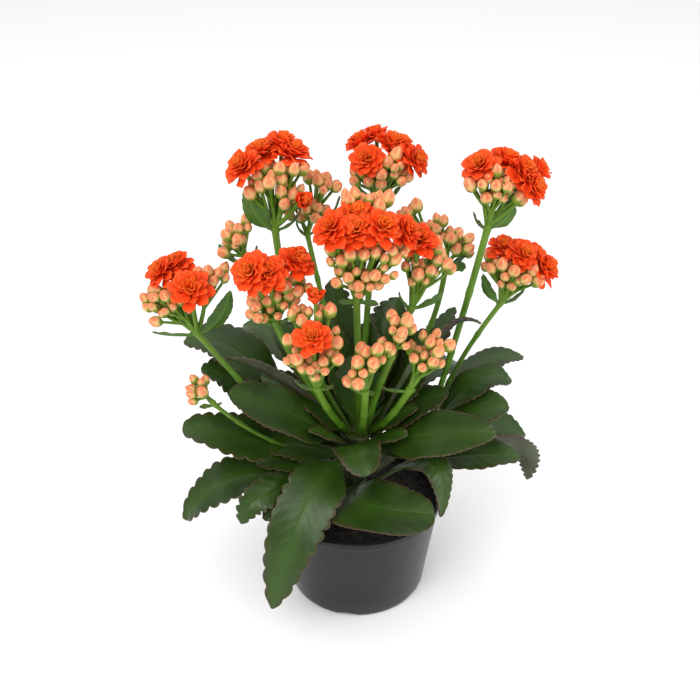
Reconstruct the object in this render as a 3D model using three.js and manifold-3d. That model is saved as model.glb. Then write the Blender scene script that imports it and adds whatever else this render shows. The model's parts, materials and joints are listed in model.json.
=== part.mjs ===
// A potted kalanchoe: a round nursery pot full of soil, a branching crown, fleshy scalloped leaves,
// and green flower stems that carry branched heads of round buds and double blossoms.
// Millimetres, +Z up. The origin is the centre of the pot's underside, and -Y is the plant's front.
import * as THREE from "three";
import { mergeVertices } from "three/addons/utils/BufferGeometryUtils.js";
import Module from "manifold-3d";

const wasm = await Module();
wasm.setup();

// ---- driving dimensions ----
const GAP = 0.35; // clearance between neighbouring solids

const POT = { rim: 45, base: 37, height: 58, wall: 1.2, floor: 4, lip: 0.9, lipHeight: 6 };
const DRAIN = { count: 6, radius: 27, hole: 3, channelWidth: 13, channelDepth: 2.4 };
const SOIL = { top: 50, crown: 2 };
const TURN = 36; // straight sides round the pot

const CROWN = { radius: 5.2, top: 96, head: 8 };
const SHOOT_RADIUS = 3.2;

const LEAF = { thick: 1.7, cup: 0.1, petiole: 0.13, petioleEnd: 0.16 };
const LEAF_SIDES = 8;
const LEAF_RINGS = 9;

const STEM = { foot: 1.4, top: 1.75 };
const STEM_SIDES = 6;
const STEM_RINGS = 6;

const BUD = { radius: 2.6, length: 3.4 };
const BLOSSOM = { radius: 9.5, depth: 5 };
const PEDICEL = 0.9; // radius of the stalk of a bud or a blossom
const KNOT = 2.2; // radius of the fork that a head branches from

// ---- finishes ----
const finish = (color, roughness) => new THREE.MeshStandardMaterial({ color, roughness, metalness: 0 });
const POT_PLASTIC = finish(0x3e3e40, 0.45);
const PEAT = finish(0x1d1612, 0.95);
const LEAF_GREEN = finish(0x2c4a1c, 0.4);
const STEM_GREEN = finish(0x5d8a2c, 0.5);
const BUD_PINK = finish(0xe0926e, 0.5);
const PETAL_ORANGE = finish(0xf03c12, 0.55);

// ---- helpers ----
const vec = (p) => new THREE.Vector3(...p);

// A closed skin swept along a curve: section(along, around) gives the sideways and upward offsets.
function sweep(path, sides, rings, section, roll = 0) {
  const skin = new THREE.SphereGeometry(1, sides, rings);
  const place = skin.getAttribute("position");
  const uv = skin.getAttribute("uv");
  const level = vec([0, 0, 1]).cross(path.getPoint(1).sub(path.getPoint(0)));
  if (level.length() < 1e-3) level.set(1, 0, 0);
  level.normalize();
  for (let i = 0; i < place.count; i++) {
    const along = 1 - uv.getY(i);
    const around = -2 * Math.PI * uv.getX(i);
    const heading = path.getTangent(along);
    const side = level.clone().addScaledVector(heading, -level.dot(heading)).normalize();
    side.applyAxisAngle(heading, THREE.MathUtils.degToRad(roll));
    const up = heading.clone().cross(side);
    const atPole = along < 1e-6 || along > 1 - 1e-6;
    const [sideways, upward] = atPole ? [0, 0] : section(along, around);
    const point = path.getPoint(along).addScaledVector(side, sideways).addScaledVector(up, upward);
    place.setXYZ(i, point.x, point.y, point.z);
  }
  return skin;
}

const bow = (from, through, to) => new THREE.QuadraticBezierCurve3(vec(from), vec(through), vec(to));

function solidOf(geometry) {
  const flat = geometry.clone();
  flat.deleteAttribute("normal");
  flat.deleteAttribute("uv");
  const merged = mergeVertices(flat, 1e-3);
  return new wasm.Manifold(
    new wasm.Mesh({
      numProp: 3,
      vertProperties: merged.attributes.position.array,
      triVerts: new Uint32Array(merged.index.array),
    }),
  );
}

function geometryOf(solid) {
  const mesh = solid.getMesh();
  const made = new THREE.BufferGeometry();
  made.setAttribute("position", new THREE.BufferAttribute(mesh.vertProperties, 3));
  made.setIndex(new THREE.BufferAttribute(mesh.triVerts, 1));
  return made;
}

const plant = new THREE.Group();

function add(name, geometry, material) {
  const mesh = new THREE.Mesh(geometry, material);
  mesh.name = name;
  plant.add(mesh);
}

// A body of revolution about +Z. The profile is [radius, height] pairs from the bottom up.
function turned(profile) {
  const points = profile.map(([r, z]) => new THREE.Vector2(r, z));
  return new THREE.LatheGeometry(points, TURN).rotateX(Math.PI / 2);
}

// ---- the pot and its soil ----
const wallSlope = (POT.rim - POT.base) / POT.height;
const outerRadius = (z) => POT.base + wallSlope * z;
const innerRadius = (z) => outerRadius(z) - POT.wall;

function potGeometry() {
  const lipFoot = POT.height - POT.lipHeight;
  const shell = solidOf(
    turned([
      [0, 0],
      [POT.base - 1.5, 0],
      [POT.base, 1.5],
      [outerRadius(lipFoot), lipFoot],
      [outerRadius(lipFoot) + POT.lip, lipFoot + POT.lip],
      [POT.rim + POT.lip, POT.height - 0.6],
      [POT.rim + POT.lip - 0.6, POT.height],
      [innerRadius(POT.height), POT.height],
      [innerRadius(POT.floor), POT.floor],
      [0, POT.floor],
    ]),
  );
  let pot = shell;
  for (let i = 0; i < DRAIN.count; i++) {
    const angle = ((i + 0.5) * 2 * Math.PI) / DRAIN.count + Math.PI / 2;
    const hole = new THREE.CylinderGeometry(DRAIN.hole, DRAIN.hole, 3 * POT.floor, 8);
    hole.rotateX(Math.PI / 2).translate(DRAIN.radius, 0, 0).rotateZ(angle);
    const reach = POT.base - DRAIN.radius + 6;
    const channel = new THREE.CylinderGeometry(
      DRAIN.channelWidth / 2,
      DRAIN.channelWidth / 2,
      reach,
      12,
    );
    channel.rotateZ(Math.PI / 2).scale(1, 1, (2 * DRAIN.channelDepth) / DRAIN.channelWidth);
    channel.translate(DRAIN.radius - 3 + reach / 2, 0, 0).rotateZ(angle);
    pot = pot.subtract(solidOf(hole)).subtract(solidOf(channel));
  }
  return geometryOf(pot);
}
add("pot", potGeometry(), POT_PLASTIC);

function soilGeometry() {
  const bottom = POT.floor + GAP;
  const dish = turned([
    [0, bottom],
    [innerRadius(bottom) - GAP, bottom],
    [innerRadius(SOIL.top) - GAP, SOIL.top],
    [0, SOIL.top + SOIL.crown],
  ]);
  const socket = new THREE.CylinderGeometry(CROWN.radius + GAP, CROWN.radius + GAP, 20, 10);
  socket.rotateX(Math.PI / 2).translate(0, 0, SOIL.top + 5);
  return geometryOf(solidOf(dish).subtract(solidOf(socket)));
}
add("soil", soilGeometry(), PEAT);

// ---- the crown: a stout stem with three side shoots ----
const SHOOTS = {
  left: [[0, 0, 64], [-18, -2, 74], [-30, -5, 90]],
  right: [[0, 0, 66], [22, 4, 76], [37, 9, 95]],
  back: [[0, 0, 68], [0, 20, 74], [2, 30, 92]],
};

function crownGeometry() {
  const heart = new THREE.CylinderGeometry(CROWN.head, CROWN.radius, 8, 10);
  heart.rotateX(Math.PI / 2).translate(0, 0, CROWN.top - 4);
  const foot = SOIL.top - 5 + GAP;
  const core = new THREE.CylinderGeometry(CROWN.radius, CROWN.radius - 0.3, CROWN.top - 7 - foot, 10);
  core.rotateX(Math.PI / 2).translate(0, 0, (CROWN.top - 7 + foot) / 2);
  let crown = solidOf(heart).add(solidOf(core));
  for (const route of Object.values(SHOOTS)) {
    const round = (along, around) => {
      const r = SHOOT_RADIUS * (along > 0.8 ? 1.15 : 1);
      return [r * Math.cos(around), r * Math.sin(around)];
    };
    crown = crown.add(solidOf(sweep(bow(...route), 8, 7, round)));
  }
  return geometryOf(crown);
}
add("crown", crownGeometry(), STEM_GREEN);

// ---- leaves ----
// Half the width of a leaf of unit width: a narrow stalk that opens into a long oval blade.
function bladeShape(along) {
  const blade = Math.max(0, (along - LEAF.petioleEnd) / (1 - LEAF.petioleEnd));
  const oval = Math.pow(Math.sin(Math.PI * Math.pow(blade, 1.05)), 0.62);
  return 0.5 * Math.max(LEAF.petiole, oval);
}

function leafGeometry({ root, bend, tip, width, roll = 0 }) {
  const section = (along, around) => {
    const half = width * bladeShape(along);
    const across = Math.cos(around);
    const body = 0.5 * LEAF.thick * (1 - 0.35 * along) * Math.sin(around);
    return [half * across, body + LEAF.cup * half * across * across];
  };
  return sweep(bow(root, bend, tip), LEAF_SIDES, LEAF_RINGS, section, roll);
}

// Each leaf by its midrib's root, bend and tip, its greatest width, and its roll about the midrib.
const LEAVES = {
  leaf_front_left: { root: [-7, -6, 91], bend: [-34, -22, 125], tip: [-62, -24, 134], width: 30, roll: -22 },
  leaf_front_small: { root: [-3, -9, 90], bend: [-2, -30, 115], tip: [4, -46, 102], width: 23, roll: 6 },
  leaf_front_right: { root: [8, -6, 88], bend: [34, -25, 114], tip: [66, -31, 116], width: 29, roll: 22 },
  leaf_front_hanging: { root: [-6, -6, 81], bend: [-26, -51, 106], tip: [-43, -61, 30], width: 29, roll: -20 },
  leaf_front_rim: { root: [2, -7, 66], bend: [-17, -49, 85], tip: [37, -48, 80], width: 35, roll: 14 },
  leaf_left_wide: { root: [-27, -9, 84], bend: [-56, -22, 109], tip: [-87, -18, 111], width: 29, roll: -14 },
  leaf_left_drooping: { root: [-24, -9, 74], bend: [-70, -31, 100], tip: [-88, -32, 63], width: 26, roll: -12 },
  leaf_left_narrow: { root: [-16, -8, 71], bend: [-50, -44, 98], tip: [-58, -44, 71], width: 16, roll: -38 },
  leaf_left_hidden: { root: [-6, -5, 64], bend: [-32, -34, 82], tip: [-47, -39, 69], width: 18, roll: -20 },
  leaf_left_high: { root: [-29, 1, 93], bend: [-59, 20, 150], tip: [-89, 15, 140], width: 30, roll: -12 },
  leaf_left_middle: { root: [-31, -1, 85], bend: [-57, 8, 128], tip: [-79, 2, 132], width: 27, roll: -10 },
  leaf_right_upper: { root: [36, 9, 86], bend: [62, 10, 135], tip: [80, 13, 118], width: 20, roll: 14 },
  leaf_right_glossy: { root: [33, 4, 80], bend: [59, -7, 119], tip: [76, -6, 115], width: 25, roll: 14 },
  leaf_right_far: { root: [38, 15, 93], bend: [66, 44, 119], tip: [92, 46, 113], width: 21, roll: 0 },
  leaf_right_low: { root: [23, 0, 72], bend: [56, -18, 97], tip: [82, -19, 93], width: 26, roll: 4 },
  leaf_right_side: { root: [31, 10, 78], bend: [62, 14, 104], tip: [89, 6, 88], width: 24, roll: 8 },
  leaf_right_tail: { root: [29, 13, 72], bend: [102, 27, 87], tip: [96, 20, 48], width: 18, roll: -60 },
  leaf_rim_right: { root: [7, -4, 64], bend: [48, -27, 118], tip: [41, -38, 70], width: 16, roll: 10 },
  leaf_back_tall: { root: [-5, 9, 88], bend: [-9, 24, 130], tip: [-13, 36, 166], width: 26, roll: 0 },
  leaf_back_middle: { root: [5, 9, 90], bend: [10, 24, 134], tip: [22, 38, 154], width: 28, roll: 0 },
  leaf_back_right: { root: [9, 4, 86], bend: [34, 24, 128], tip: [52, 42, 146], width: 22, roll: -10 },
  leaf_back_flat: { root: [8, 2, 92], bend: [39, 2, 172], tip: [60, 1, 159], width: 12, roll: -34 },
  leaf_rear_left: { root: [-3, 30, 84], bend: [-46, 47, 138], tip: [-64, 60, 124], width: 30, roll: 0 },
  leaf_rear_centre: { root: [2, 34, 80], bend: [4, 66, 112], tip: [2, 86, 84], width: 32, roll: 0 },
  leaf_rear_right: { root: [6, 31, 84], bend: [40, 54, 116], tip: [62, 62, 96], width: 30, roll: 0 },
};
for (const [name, shape] of Object.entries(LEAVES)) add(name, leafGeometry(shape), LEAF_GREEN);

// ---- flower stems and the heads they carry ----
function stemGeometry({ foot, bend, fork }) {
  const round = (along, around) => {
    const r = THREE.MathUtils.lerp(STEM.foot, STEM.top, along);
    return [r * Math.cos(around), r * Math.sin(around)];
  };
  return sweep(bow(foot, bend, fork), STEM_SIDES, STEM_RINGS, round);
}

// A straight three-sided stalk between two points, with its ends buried in what it joins.
function stalk(from, to) {
  const reach = to.clone().sub(from);
  const prism = new THREE.CylinderGeometry(PEDICEL, PEDICEL, reach.length(), 3).rotateX(Math.PI / 2);
  return solidOf(turnTo(prism, reach, from.clone().lerp(to, 0.5)));
}

function turnTo(geometry, direction, place) {
  const turn = new THREE.Quaternion().setFromUnitVectors(vec([0, 0, 1]), direction.clone().normalize());
  return geometry.applyQuaternion(turn).translate(place.x, place.y, place.z);
}

// Buds stand on a dome about the fork, and each blossom is a shallow double cone on a stalk of its own.
function headGeometry({ fork, spread, height, buds, blossoms }) {
  const golden = Math.PI * (3 - Math.sqrt(5));
  const hub = vec(fork).add(vec([0, 0, GAP + KNOT]));
  let head = solidOf(new THREE.IcosahedronGeometry(KNOT, 0).translate(hub.x, hub.y, hub.z));
  for (let i = 0; i < buds; i++) {
    const lift = 1 - (0.85 * (i + 0.5)) / buds;
    const out = Math.sqrt(1 - lift * lift);
    const offset = vec([
      spread * out * Math.cos(i * golden),
      spread * out * Math.sin(i * golden),
      height * (0.45 + 0.5 * lift),
    ]);
    const place = hub.clone().add(offset);
    const bud = new THREE.IcosahedronGeometry(1, 0).scale(BUD.radius, BUD.radius, BUD.length);
    head = head.add(solidOf(turnTo(bud, offset, place))).add(stalk(hub, place));
  }
  for (const offset of blossoms) {
    const place = hub.clone().add(vec(offset));
    const disc = new THREE.ConeGeometry(BLOSSOM.radius, BLOSSOM.depth, 8).rotateX(-Math.PI / 2);
    const facing = vec(offset).setZ(0.6 * offset[2]);
    head = head.add(solidOf(turnTo(disc, facing, place))).add(stalk(hub, place));
  }
  return geometryOf(head);
}

// Each flower stem by its foot, its bend and the fork at its top; then the head that the fork carries.
const FLOWER_STEMS = {
  top_left: {
    foot: [-5.8, 3, 97.5], bend: [-36, 10, 150], fork: [-39, 8, 205],
    spread: 15, height: 30, buds: 8, blossoms: [[-13, -6, 31], [-5, 3, 35], [4, 7, 37], [9, 2, 35]],
  },
  back_left: {
    foot: [-3, 6, 97.5], bend: [-16, 22, 150], fork: [-25, 28, 194],
    spread: 12, height: 28, buds: 8, blossoms: [],
  },
  top_centre: {
    foot: [1.5, 5.4, 97.5], bend: [4, 34, 150], fork: [10, 36, 208],
    spread: 14, height: 22, buds: 7,
    blossoms: [[-6, -10, 22], [16, -3, 19], [-8, 7, 25], [6, 4, 25], [-1, 13, 28]],
  },
  top_right: {
    foot: [38, 9, 96.5], bend: [50, 10, 146], fork: [61, 12, 204],
    spread: 14, height: 22, buds: 7,
    blossoms: [[-6, -4, 31], [6, 3, 30], [13, -3, 28], [21, 6, 25], [17, -7, 22]],
  },
  right: {
    foot: [40.5, 13.5, 96], bend: [51, 23, 124], fork: [72, 20, 160],
    spread: 15, height: 24, buds: 8, blossoms: [[-1, 0, 29], [8, -5, 28], [15, 1, 24], [21, -3, 19]],
  },
  centre: {
    foot: [0.6, -2.4, 97.5], bend: [0, -15, 140], fork: [-1, -20, 182],
    spread: 18, height: 30, buds: 10, blossoms: [[-10, -13, 38], [10, -12, 38], [0, -4, 39], [20, -4, 33]],
  },
  centre_right: {
    foot: [2.8, 1.6, 97.5], bend: [14, -6, 140], fork: [25, -8, 172],
    spread: 13, height: 22, buds: 7, blossoms: [[1, -8, 35]],
  },
  back_right: {
    foot: [5.4, 4, 97.5], bend: [40, 22, 130], fork: [44, 27, 178],
    spread: 15, height: 20, buds: 9, blossoms: [],
  },
  left: {
    foot: [-32, -6, 91.5], bend: [-52, -7, 122], fork: [-77, -8, 158],
    spread: 18, height: 26, buds: 9, blossoms: [[-13, -2, 34], [-7, 2, 35], [1, -13, 28]],
  },
  upper_left: {
    foot: [-6.5, -0.5, 97.5], bend: [-44, 6, 148], fork: [-52, 5, 188],
    spread: 8, height: 17, buds: 5, blossoms: [],
  },
  centre_left: {
    foot: [-5.2, -3.8, 97.5], bend: [-30, -16, 140], fork: [-38, -22, 172],
    spread: 14, height: 22, buds: 7, blossoms: [[-8, -13, 29], [-1, -12, 28], [10, -3, 29]],
  },
  front_left: {
    foot: [-2.4, -6.2, 97.5], bend: [-13, -24, 118], fork: [-19, -35, 144],
    spread: 12, height: 20, buds: 7, blossoms: [[-1, -11, 31]],
  },
  front_centre: {
    foot: [0.9, -6.6, 97.5], bend: [3, -26, 116], fork: [3, -38, 144],
    spread: 8, height: 18, buds: 6, blossoms: [],
  },
  front_middle: {
    foot: [4, -5.2, 97.5], bend: [8, -24, 134], fork: [15, -34, 161],
    spread: 7, height: 14, buds: 5, blossoms: [],
  },
  front_right: {
    foot: [6.2, -2.4, 97.5], bend: [14, -20, 112], fork: [24, -27, 138],
    spread: 9, height: 24, buds: 6, blossoms: [],
  },
  low_left: {
    foot: [-31.5, -9.5, 91], bend: [-50, -22, 106], fork: [-69, -24, 128],
    spread: 6, height: 12, buds: 4, blossoms: [],
  },
};
for (const [name, shape] of Object.entries(FLOWER_STEMS)) {
  add("stem_" + name, stemGeometry(shape), STEM_GREEN);
  add("head_" + name, headGeometry(shape), shape.blossoms.length ? PETAL_ORANGE : BUD_PINK);
}

export default plant;
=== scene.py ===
"""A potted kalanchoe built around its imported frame: a dark nursery pot full of peat, fleshy scalloped
leaves, and upright green stems that carry branched heads of double blossoms and round buds."""

import json
import math
import random

import bmesh
import bpy
import numpy as np
from bpy.props import FloatProperty, FloatVectorProperty, IntProperty, PointerProperty
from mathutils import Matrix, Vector

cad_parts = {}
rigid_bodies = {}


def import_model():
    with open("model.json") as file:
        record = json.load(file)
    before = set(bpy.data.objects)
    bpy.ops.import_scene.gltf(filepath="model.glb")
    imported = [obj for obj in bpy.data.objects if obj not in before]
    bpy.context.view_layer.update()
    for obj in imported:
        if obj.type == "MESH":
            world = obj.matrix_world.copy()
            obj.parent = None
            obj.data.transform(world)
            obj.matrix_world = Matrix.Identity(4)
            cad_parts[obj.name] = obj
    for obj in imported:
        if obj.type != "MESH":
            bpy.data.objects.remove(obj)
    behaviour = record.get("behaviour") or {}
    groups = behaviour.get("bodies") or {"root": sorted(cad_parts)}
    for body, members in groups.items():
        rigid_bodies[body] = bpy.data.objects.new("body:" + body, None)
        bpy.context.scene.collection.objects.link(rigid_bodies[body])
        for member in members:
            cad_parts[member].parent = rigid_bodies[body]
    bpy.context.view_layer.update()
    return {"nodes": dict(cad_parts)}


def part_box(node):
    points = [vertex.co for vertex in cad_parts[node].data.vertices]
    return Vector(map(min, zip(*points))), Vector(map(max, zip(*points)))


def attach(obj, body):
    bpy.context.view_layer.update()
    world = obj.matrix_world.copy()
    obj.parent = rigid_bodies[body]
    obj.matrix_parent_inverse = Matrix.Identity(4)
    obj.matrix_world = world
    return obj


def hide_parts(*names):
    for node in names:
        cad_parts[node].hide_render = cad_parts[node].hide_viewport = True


bl_info = {
    "name": "Potted kalanchoe",
    "version": (1, 0, 0),
    "blender": (4, 5, 0),
    "location": "View3D > Sidebar > Kalanchoe",
    "description": "Builds a potted kalanchoe around its packed frame",
    "category": "Object",
}

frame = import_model()

MM = 0.001
NODES = frame["nodes"]
WELD = 2e-6
GOLDEN_ANGLE = math.pi * (3 - math.sqrt(5))
LEAVES = sorted(name for name in NODES if name.startswith("leaf_"))
FLOWER_STEMS = sorted(name.removeprefix("stem_") for name in NODES if name.startswith("stem_"))
LEAF_SIDES = 8
STEM_SIDES = 6
VEIN_SLANT = 1.25  # how far a vein runs forward for each millimetre outward
VEIN_STEP = 7.5  # millimetres of midrib from one pair of veins to the next


# ---- settings that a user would change ----
def colour(name, description, value):
    return FloatVectorProperty(
        name=name, description=description, default=value, size=3, subtype="COLOR", min=0, max=1
    )


def length(name, description, value):
    return FloatProperty(name=name, description=description, default=value, unit="LENGTH")


class PotSettings(bpy.types.PropertyGroup):
    """Sizes and colours of the pot and its peat."""

    base_radius: length("Base radius", "Radius of the wall at the pot's foot", 37 * MM)
    rim_radius: length("Rim radius", "Radius that the wall would have at the top", 45 * MM)
    wall: length("Wall", "Thickness of the wall", 1.2 * MM)
    floor: length("Floor", "Thickness of the pot's floor", 4 * MM)
    lip_height: length("Lip height", "Height of the stiff band round the rim", 4.6 * MM)
    plastic: colour("Plastic", "Colour of the pot", (0.0160, 0.0160, 0.0165))
    # The peat colour is near black: dark peat, darkened further as painted shade for the deep shadow inside
    # the pot
    peat: colour("Peat", "Colour of the potting soil", (0.006, 0.005, 0.004))
    crumbs: IntProperty(name="Crumbs", description="Crumbs of peat in a square metre", default=260000)


class LeafSettings(bpy.types.PropertyGroup):
    """Shape and colours of the fleshy leaves."""

    thickness: length("Thickness", "Thickness of a blade beside its midrib", 1.5 * MM)
    tooth_spacing: length("Tooth spacing", "Distance between the scallops of the margin", 5.4 * MM)
    tooth_depth: length("Tooth depth", "How far a scallop stands out", 2.3 * MM)
    upper: colour("Upper side", "Main colour of the upper side", (0.0115, 0.030, 0.0025))
    young: colour("Young green", "Lighter green of the middle and of young leaves", (0.036, 0.088, 0.007))
    under: colour("Underside", "Pale colour of the underside", (0.095, 0.115, 0.065))
    flush: colour("Flush", "Brownish flush of the underside", (0.052, 0.038, 0.028))
    margin: colour("Margin", "Colour of the thin margin", (0.078, 0.042, 0.021))


class FlowerSettings(bpy.types.PropertyGroup):
    """Sizes and colours of the stems, the buds and the blossoms."""

    stem_radius: length("Stem radius", "Radius of a flower stem at mid height", 1.62 * MM)
    bud_radius: length("Bud radius", "Largest radius of a ripe bud", 3.0 * MM)
    blossom_radius: length("Blossom radius", "Radius of an open double blossom", 10.1 * MM)
    petals: IntProperty(
        name="Petals", description="Petals in one double blossom", default=42, min=8, max=80
    )
    stem: colour("Stem", "Colour of the stems", (0.080, 0.195, 0.010))
    bud: colour("Bud", "Colour of a ripe bud", (0.680, 0.150, 0.070))
    petal: colour("Petal", "Colour of an outer petal", (1.000, 0.075, 0.008))
    heart: colour("Heart", "Colour of the innermost petals", (1.000, 0.270, 0.018))


class StageSettings(bpy.types.PropertyGroup):
    """Camera, floor and light."""

    camera_place: FloatVectorProperty(
        name="Camera place",
        description="Where the camera stands",
        default=(-0.004, -0.400, 0.380),
        unit="LENGTH",
    )
    pitch: FloatProperty(
        name="Pitch", description="How far the camera looks down", default=math.radians(30.5), subtype="ANGLE"
    )
    lens: FloatProperty(name="Lens", description="Focal length in millimetres", default=48.34)
    floor: colour("Floor", "Colour of the floor", (0.93, 0.93, 0.93))
    light: FloatProperty(name="Light", description="Power of the main light in watts", default=9.0)
    sky: FloatProperty(name="Sky", description="Strength of the light from all round", default=0.62)


# ---- objects and shapes made in code ----
FIELDS = {"FLOAT": ("value", np.float32), "INT": ("value", np.int32), "FLOAT_VECTOR": ("vector", np.float32)}


def in_scene(name, data):
    """A new object that holds the data, linked into the scene."""
    made = bpy.data.objects.new(name, data)
    bpy.context.scene.collection.objects.link(made)
    return made


def paint(mesh, mark, values, kind="FLOAT"):
    """Stores a number or a vector on each point of a mesh."""
    field, number = FIELDS[kind]
    attribute = mesh.attributes.new(mark, kind, "POINT")
    attribute.data.foreach_set(field, np.asarray(values, number).ravel())


def modify(piece, name, kind, **settings):
    modifier = piece.modifiers.new(name, kind)
    for key, value in settings.items():
        setattr(modifier, key, value)
    return modifier


class Shape:
    """Points, faces and the numbers painted on each point, which the materials read."""

    def __init__(self, points, faces, marks):
        self.points = np.asarray(points, float).reshape(-1, 3)
        self.faces = faces
        self.marks = {name: np.broadcast_to(value, len(self.points)) for name, value in marks.items()}

    @staticmethod
    def joined(shapes):
        points = np.concatenate([shape.points for shape in shapes])
        faces, first = [], 0
        for shape in shapes:
            faces += [[first + corner for corner in face] for face in shape.faces]
            first += len(shape.points)
        marks = {name: np.concatenate([shape.marks[name] for shape in shapes]) for name in shapes[0].marks}
        return Shape(points, faces, marks)

    def make(self, name, material=None):
        """The shape as a smooth mesh object at the origin."""
        mesh = bpy.data.meshes.new(name)
        mesh.from_pydata([tuple(point) for point in self.points], [], self.faces)
        mesh.polygons.foreach_set("use_smooth", [True] * len(mesh.polygons))
        for mark, values in self.marks.items():
            paint(mesh, mark, values)
        if material:
            mesh.materials.append(material)
        return in_scene(name, mesh)


def skin_faces(rings, sides):
    """Faces of a closed skin: a pole, rings that turn right-handed round the way they run, and a pole."""
    faces, last = [], 1 + rings * sides
    for k in range(sides):
        after = (k + 1) % sides
        faces.append([0, 1 + after, 1 + k])
        faces.append([last - sides + k, last - sides + after, last])
        for ring in range(rings - 1):
            low, high = 1 + ring * sides, 1 + (ring + 1) * sides
            faces.append([low + k, low + after, high + after, high + k])
    return faces


def skin(start, rings, end, marks):
    """A closed Shape over an array of rings. Each mark has one number for each ring point."""
    count, sides = rings.shape[:2]
    points = np.concatenate([[start], rings.reshape(-1, 3), [end]])
    padded = {}
    for name, value in marks.items():
        grid = np.broadcast_to(value, (count, sides))
        padded[name] = np.concatenate([[grid[0].mean()], grid.reshape(-1), [grid[-1].mean()]])
    return Shape(points, skin_faces(count, sides), padded)


def smooth(value, low=0.0, high=1.0):
    share = np.clip((value - low) / (high - low), 0, 1)
    return share * share * (3 - 2 * share)


def unit(vectors):
    vectors = np.asarray(vectors, float)
    return vectors / np.linalg.norm(vectors, axis=-1, keepdims=True)


def circle(radius, turn, height):
    """Points round the upright axis, at the angles in turn."""
    return np.stack([radius * np.cos(turn), radius * np.sin(turn), np.full(len(turn), height)], axis=-1)


def up_by(height):
    """The way up by a height in millimetres."""
    return np.array([0, 0, height]) * MM


def keep(piece, slot, *stands_for):
    """Makes a finished piece ride on the plant and stand for CAD nodes."""
    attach(piece, "root")
    if stands_for:
        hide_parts(*stands_for)


# ---- reading the frame ----
def swept(node, sides):
    """The rings of a swept CAD solid, from its root to its tip, each an array of points."""
    solid = bmesh.new()
    solid.from_mesh(NODES[node].data)
    bmesh.ops.remove_doubles(solid, verts=solid.verts, dist=WELD)
    for pole in solid.verts:
        levels, seen = [[pole]], {pole}
        while levels[-1]:
            beyond = {e.other_vert(v) for v in levels[-1] for e in v.link_edges} - seen
            seen |= beyond
            levels.append(list(beyond))
        levels.pop()
        if len(levels[-1]) == 1 and all(len(level) == sides for level in levels[1:-1]):
            break
    else:
        raise RuntimeError(f"{node} isn't a swept solid")
    rings = [np.array([v.co for v in level]) for level in levels]
    solid.free()
    root_first = np.linalg.norm(rings[0][0][:2]) < np.linalg.norm(rings[-1][0][:2])
    return rings if root_first else rings[::-1]


class Rib:
    """A quadratic curve with a level sideways direction that is rolled about it."""

    def __init__(self, root, bend, tip, roll=0.0, width=0.0):
        self.root, self.bend, self.tip = (np.array(p, float) for p in (root, bend, tip))
        self.roll, self.width = roll, width
        level = np.cross([0, 0, 1], self.tip - self.root)
        self.level = unit(level) if np.linalg.norm(level) > 1e-5 else np.array([1.0, 0, 0])
        self.length = np.linalg.norm(np.diff(self.at(np.linspace(0, 1, 24)), axis=0), axis=1).sum()

    @classmethod
    def through(cls, centres):
        """The curve that passes through evenly stepped points."""
        steps = np.linspace(0, 1, len(centres))[1:-1, None]
        root, tip = centres[0], centres[-1]
        pulls = np.array(centres[1:-1]) - (1 - steps) ** 2 * root - steps**2 * tip
        return cls(root, (pulls / (2 * steps * (1 - steps))).mean(axis=0), tip)

    def at(self, along):
        s = np.asarray(along, float)[..., None]
        return (1 - s) ** 2 * self.root + 2 * s * (1 - s) * self.bend + s * s * self.tip

    def heading(self, along):
        s = np.asarray(along, float)[..., None]
        return unit((1 - s) * (self.bend - self.root) + s * (self.tip - self.bend))

    def side(self, along):
        heading = self.heading(along)
        flat = unit(self.level - heading * (heading @ self.level)[..., None])
        return flat * math.cos(self.roll) + np.cross(heading, flat) * math.sin(self.roll)


def leaf_rib(node):
    """Reads the midrib, the roll and the width of a leaf from its CAD solid."""
    rings = swept(node, LEAF_SIDES)
    centres, sides, widths = [rings[0][0]], [], []
    for ring in rings[1:-1]:
        gaps = np.linalg.norm(ring[:, None] - ring[None], axis=2)
        left, right = np.unravel_index(gaps.argmax(), gaps.shape)
        across = unit(ring[left] - ring[right])
        offsets = np.abs((ring - (ring[left] + ring[right]) / 2) @ across)
        centres.append(ring[np.argsort(offsets)[:2]].mean(axis=0))
        sides.append(across)
        widths.append(gaps.max())
    centres.append(rings[-1][0])
    rib = Rib.through(centres)
    middle = len(sides) // 2
    step = (middle + 1) / (len(centres) - 1)
    flat, heading = rib.side(step), rib.heading(step)
    across = sides[middle] * np.sign(sides[middle] @ flat)
    rib.roll = math.atan2(np.cross(flat, across) @ heading, flat @ across)
    rib.width = max(widths)
    return rib


def stem_rib(name):
    rings = swept("stem_" + name, STEM_SIDES)
    return Rib.through([ring.mean(axis=0) for ring in rings])


# ---- node trees ----
SOCKET_KINDS = {float: "Float", int: "Int", tuple: "Color"}


def socket_of(sockets, key):
    """A socket by its place, its identifier or its name."""
    if isinstance(key, int):
        return sockets[key]
    return next((s for s in sockets if s.identifier == key), None) or sockets[key]


def add_node(tree, kind, inputs=None, **settings):
    """A new node. Each input is a value, or the output that it is linked to."""
    node = tree.nodes.new(kind)
    for name, value in settings.items():
        setattr(node, name, value)
    for key, value in (inputs or {}).items():
        socket = socket_of(node.inputs, key)
        if isinstance(value, bpy.types.NodeSocket):
            tree.links.new(value, socket)
        else:
            socket.default_value = value
    return node


def output_of(tree, kind, inputs=None, output=0, **settings):
    """One output of a new node."""
    return socket_of(add_node(tree, kind, inputs, **settings).outputs, output)


def calc(tree, operation, a, b=0.0, clamp=False):
    return output_of(tree, "ShaderNodeMath", {0: a, 1: b}, operation=operation, use_clamp=clamp)


def times(tree, a, b):
    return calc(tree, "MULTIPLY", a, b)


def plus(tree, a, b):
    return calc(tree, "ADD", a, b)


def minus(tree, a, b):
    return calc(tree, "SUBTRACT", a, b)


def vector_of(tree, **parts):
    return output_of(tree, "ShaderNodeCombineXYZ", parts)


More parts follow.
